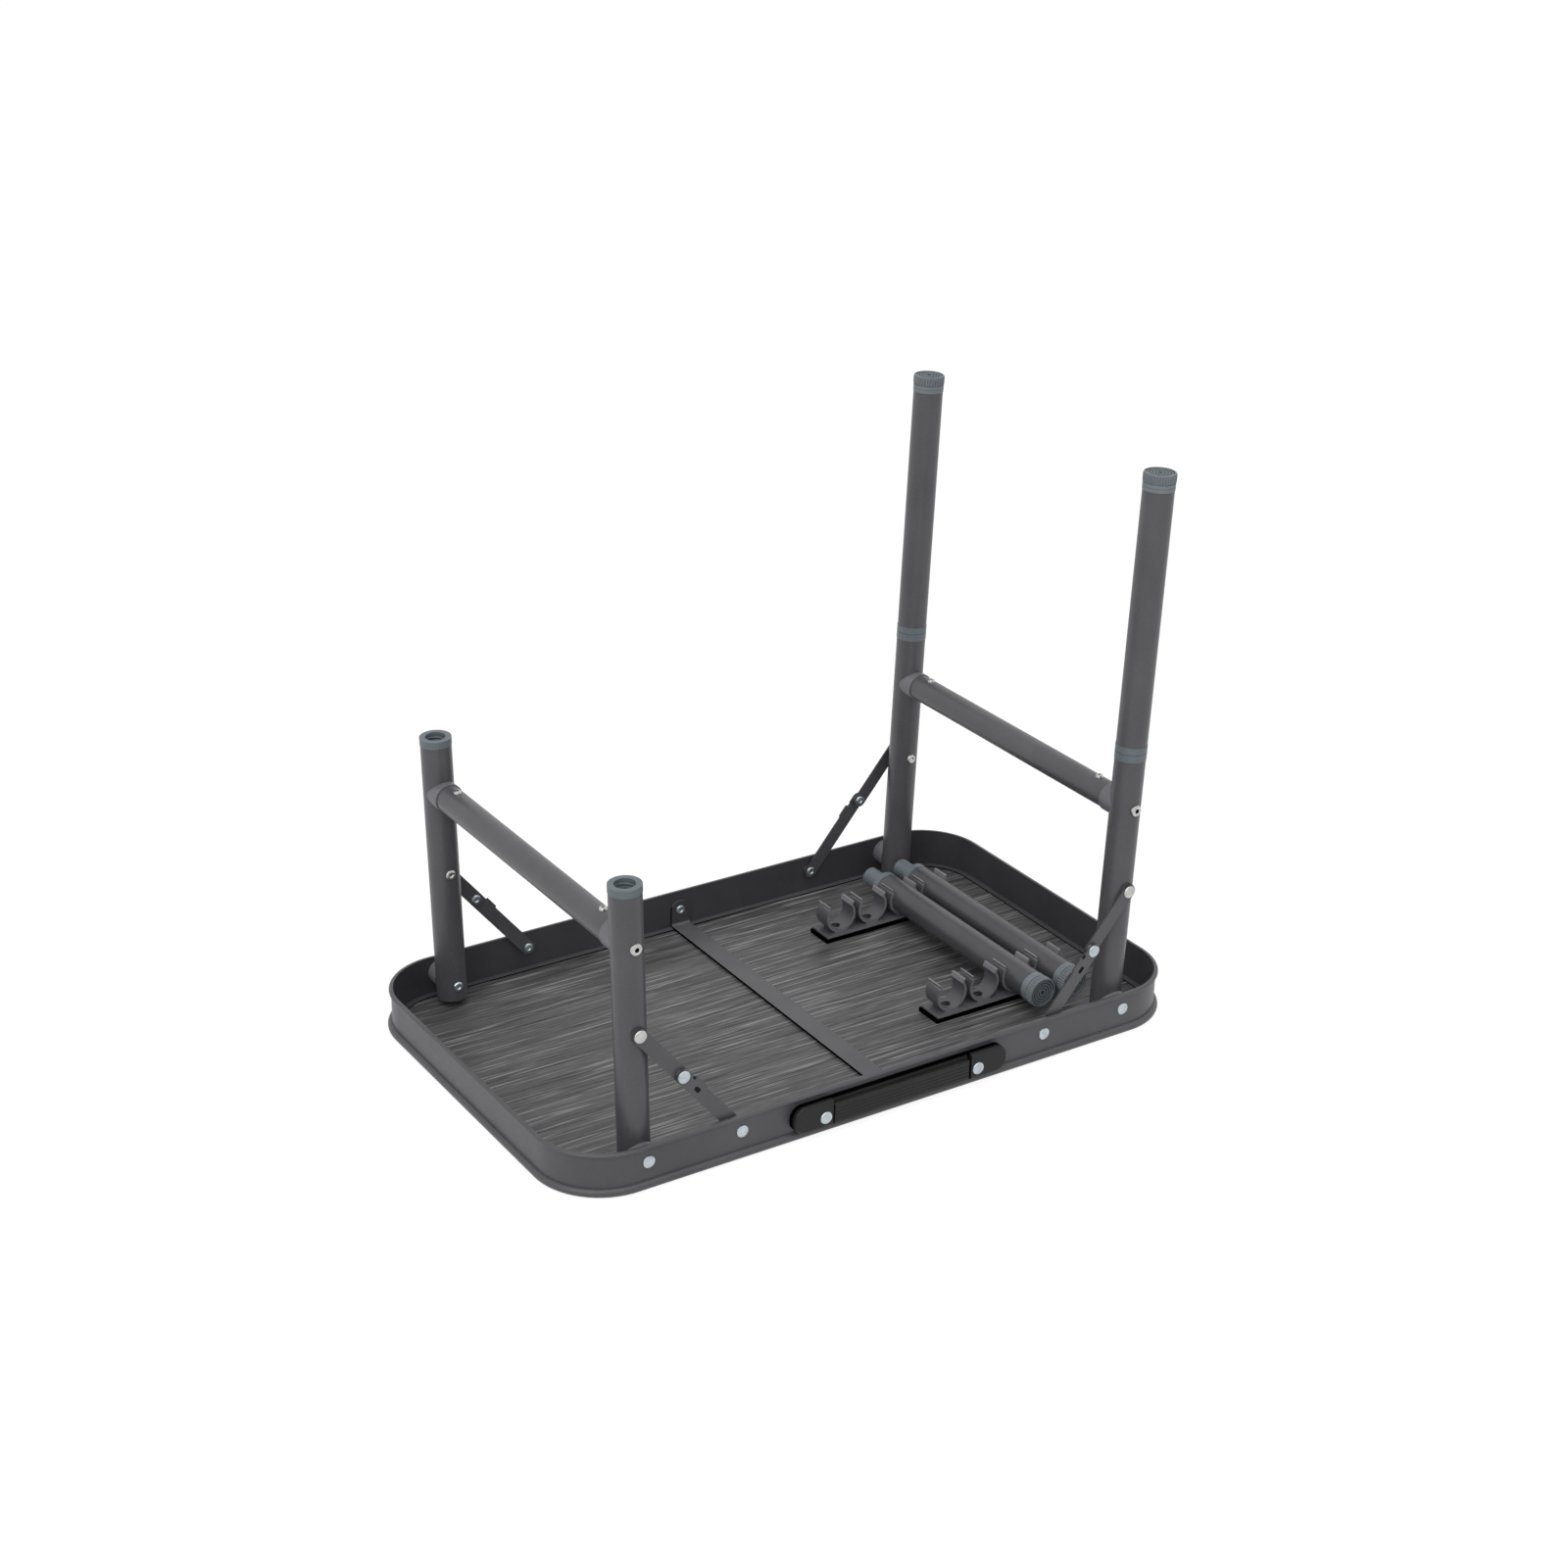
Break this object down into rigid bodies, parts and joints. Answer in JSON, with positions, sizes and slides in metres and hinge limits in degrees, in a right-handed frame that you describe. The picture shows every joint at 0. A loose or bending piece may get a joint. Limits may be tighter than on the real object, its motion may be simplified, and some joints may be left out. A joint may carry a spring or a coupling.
{
  "type": "folding camping table",
  "caption": "Low folding camping table shown lying on its top, with a rounded metal rim, folding leg frames held by stays, screw-on leg extensions and clips for spare ones.",
  "frame": {"origin": "middle of the table-top face, which lies on the floor as pictured", "axes": "+Z from the table-top face up to the feet, +X along the long side, +Y from the handle side to the far side"},
  "size_m": [0.65, 0.3982, 0.5287],
  "materials": {
    "grain_board": "printed grey grain, satin",
    "rim_coat": "dark grey powder coat",
    "tube_coat": "dark grey powder coat",
    "strip_coat": "dark grey powder coat",
    "stay_paint": "dark grey powder coat",
    "clip_plastic": "moulded grey",
    "pad_foam": "black foam",
    "handle_plastic": "moulded black",
    "strap_rubber": "ribbed black",
    "fastener_steel": "zinc plated",
    "collar_plastic": "moulded blue grey",
    "foot_plastic": "moulded blue grey, ribbed",
    "fitting_plastic": "moulded grey"
  },
  "bodies": {
    "tabletop": {"centre_strip": "strip_coat", "clip_pads": "pad_foam", "clip_rail_back": "clip_plastic", "clip_rail_front": "clip_plastic", "clip_screws": "fastener_steel", "handle_backing": "handle_plastic", "handle_end_left": "handle_plastic", "handle_end_right": "handle_plastic", "handle_strap": "strap_rubber", "pivot_rivets": "fastener_steel", "rim_profile": "rim_coat", "rim_rivets": "fastener_steel", "stay_rim_rivets": "fastener_steel", "stored_inner_foot": "foot_plastic", "stored_inner_stub": "collar_plastic", "stored_inner_tube": "tube_coat", "stored_outer_foot": "foot_plastic", "stored_outer_stub": "collar_plastic", "stored_outer_tube": "tube_coat", "table_panel": "grain_board"},
    "left_frame": {"left_cross_tube": "tube_coat", "left_frame_fasteners": "fastener_steel", "left_leg_back": "tube_coat", "left_leg_front": "tube_coat", "left_leg_plugs": "fitting_plastic", "left_leg_spacers": "fitting_plastic", "left_saddles": "fitting_plastic", "left_socket_back": "collar_plastic", "left_socket_front": "collar_plastic"},
    "left_lower_link_front": {"left_mid_rivet_outer_front": "fastener_steel", "left_stay_lower_front": "stay_paint"},
    "left_upper_link_front": {"left_mid_rivet_inner_front": "fastener_steel", "left_stay_upper_front": "stay_paint"},
    "left_lower_link_back": {"left_mid_rivet_outer_back": "fastener_steel", "left_stay_lower_back": "stay_paint"},
    "left_upper_link_back": {"left_mid_rivet_inner_back": "fastener_steel", "left_stay_upper_back": "stay_paint"},
    "right_frame": {"right_cross_tube": "tube_coat", "right_frame_fasteners": "fastener_steel", "right_leg_back": "tube_coat", "right_leg_front": "tube_coat", "right_leg_plugs": "fitting_plastic", "right_leg_spacers": "fitting_plastic", "right_saddles": "fitting_plastic", "right_socket_back": "collar_plastic", "right_socket_front": "collar_plastic"},
    "right_lower_link_front": {"right_mid_rivet_outer_front": "fastener_steel", "right_stay_lower_front": "stay_paint"},
    "right_upper_link_front": {"right_mid_rivet_inner_front": "fastener_steel", "right_stay_upper_front": "stay_paint"},
    "right_lower_link_back": {"right_mid_rivet_outer_back": "fastener_steel", "right_stay_lower_back": "stay_paint"},
    "right_upper_link_back": {"right_mid_rivet_inner_back": "fastener_steel", "right_stay_upper_back": "stay_paint"},
    "extension_front": {"extension_front_foot": "foot_plastic", "extension_front_stub": "collar_plastic", "extension_front_tube": "tube_coat"},
    "extension_back": {"extension_back_foot": "foot_plastic", "extension_back_stub": "collar_plastic", "extension_back_tube": "tube_coat"}
  },
  "joints": [
    {"name": "left_fold", "type": "hinge", "parent": "tabletop", "child": "left_frame", "pos_m": [-0.25, 0, 0.0254], "axis": [0, 1, 0], "range_deg": [0, 91.5]},
    {"name": "left_front_lower_swing", "type": "hinge", "parent": "tabletop", "child": "left_lower_link_front", "pos_m": [-0.1595, -0.1874, 0.0258], "axis": [0, 1, 0], "range_deg": [0, 131]},
    {"name": "left_front_upper_swing", "type": "hinge", "parent": "left_frame", "child": "left_upper_link_front", "pos_m": [-0.25351, -0.1841, 0.14035], "axis": [0, 1, 0], "range_deg": [-144, 0]},
    {"name": "left_back_lower_swing", "type": "hinge", "parent": "tabletop", "child": "left_lower_link_back", "pos_m": [-0.1595, 0.1874, 0.0258], "axis": [0, 1, 0], "range_deg": [0, 131]},
    {"name": "left_back_upper_swing", "type": "hinge", "parent": "left_frame", "child": "left_upper_link_back", "pos_m": [-0.25351, 0.1841, 0.14035], "axis": [0, 1, 0], "range_deg": [-144, 0]},
    {"name": "right_fold", "type": "hinge", "parent": "tabletop", "child": "right_frame", "pos_m": [0.25, 0, 0.0254], "axis": [0, -1, 0], "range_deg": [0, 75]},
    {"name": "right_front_lower_swing", "type": "hinge", "parent": "tabletop", "child": "right_lower_link_front", "pos_m": [0.1595, -0.1874, 0.0258], "axis": [0, -1, 0], "range_deg": [0, 111]},
    {"name": "right_front_upper_swing", "type": "hinge", "parent": "right_frame", "child": "right_upper_link_front", "pos_m": [0.25351, -0.1841, 0.14035], "axis": [0, -1, 0], "range_deg": [-124, 0]},
    {"name": "right_back_lower_swing", "type": "hinge", "parent": "tabletop", "child": "right_lower_link_back", "pos_m": [0.1595, 0.1874, 0.0258], "axis": [0, -1, 0], "range_deg": [0, 111]},
    {"name": "right_back_upper_swing", "type": "hinge", "parent": "right_frame", "child": "right_upper_link_back", "pos_m": [0.25351, 0.1841, 0.14035], "axis": [0, -1, 0], "range_deg": [-124, 0]},
    {"name": "extension_front_unscrew", "type": "hinge", "parent": "right_frame", "child": "extension_front", "pos_m": [0.25754, -0.1675, 0.27208], "axis": [0.0305, 0, 0.9995], "range_deg": [0, 1440]},
    {"name": "extension_back_unscrew", "type": "hinge", "parent": "right_frame", "child": "extension_back", "pos_m": [0.25754, 0.1675, 0.27208], "axis": [0.0305, 0, 0.9995], "range_deg": [0, 1440]}
  ],
  "couplings": [
    {"joint": "left_front_lower_swing", "follows": "left_fold", "ratio": 1.4114},
    {"joint": "left_front_upper_swing", "follows": "left_fold", "ratio": -1.5559},
    {"joint": "left_back_lower_swing", "follows": "left_fold", "ratio": 1.4114},
    {"joint": "left_back_upper_swing", "follows": "left_fold", "ratio": -1.5559},
    {"joint": "right_front_lower_swing", "follows": "right_fold", "ratio": 1.4639},
    {"joint": "right_front_upper_swing", "follows": "right_fold", "ratio": -1.628},
    {"joint": "right_back_lower_swing", "follows": "right_fold", "ratio": 1.4639},
    {"joint": "right_back_upper_swing", "follows": "right_fold", "ratio": -1.628}
  ]
}
